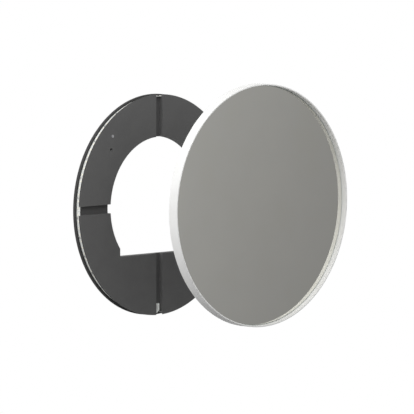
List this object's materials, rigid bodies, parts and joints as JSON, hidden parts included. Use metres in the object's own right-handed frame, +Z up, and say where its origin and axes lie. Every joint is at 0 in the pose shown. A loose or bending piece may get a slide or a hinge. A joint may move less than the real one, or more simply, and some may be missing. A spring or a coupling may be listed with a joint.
{
  "type": "backlit wall mirror",
  "caption": "Round framed mirror that hangs by two pegs on a slotted dark back plate with a light tape round its rim; drawn with the two units pulled apart.",
  "frame": {"origin": "centre of the back plate's rear face, on the wall plane", "axes": "+Z up, -Y out of the wall towards the room, +X to the right seen from the room"},
  "size_m": [0.6, 0.3858, 0.6],
  "materials": {
    "board": "dense dark-grey board, dull routed faces",
    "tape": "white flexible light tape with pale yellow chips",
    "zinc": "zinc-plated steel, satin",
    "peg_steel": "turned steel, satin",
    "frame_paint": "white powder coat, satin",
    "silvered_glass": "silvered float glass, polished",
    "backing": "dull grey fibre board",
    "rubber": "black rubber, matt"
  },
  "bodies": {
    "plate_unit": {"back_plate": "board", "led_tape": "tape", "hanger_left": "zinc", "hanger_right": "zinc", "hanger_bolt_left": "zinc", "hanger_bolt_right": "zinc", "hanger_screw_left": "zinc", "hanger_screw_right": "zinc"},
    "mirror_unit": {"frame_ring": "frame_paint", "mirror_glass": "silvered_glass", "backing_board": "backing", "peg_left": "peg_steel", "peg_right": "peg_steel", "frame_tab_1": "frame_paint", "frame_tab_2": "frame_paint", "frame_tab_3": "frame_paint", "frame_tab_4": "frame_paint", "frame_tab_5": "frame_paint", "frame_tab_6": "frame_paint", "frame_tab_7": "frame_paint", "frame_tab_8": "frame_paint", "tab_screw_1": "zinc", "tab_screw_2": "zinc", "tab_screw_3": "zinc", "tab_screw_4": "zinc", "tab_screw_5": "zinc", "tab_screw_6": "zinc", "tab_screw_7": "zinc", "tab_screw_8": "zinc", "rubber_bumper_1": "rubber", "rubber_bumper_2": "rubber", "rubber_bumper_3": "rubber", "rubber_bumper_4": "rubber"}
  },
  "joints": [
    {"name": "mirror_lift_off", "type": "slide", "parent": "plate_unit", "child": "mirror_unit", "axis": [0, 0.9983, -0.0587], "range_m": [0, 0.34059]}
  ]
}
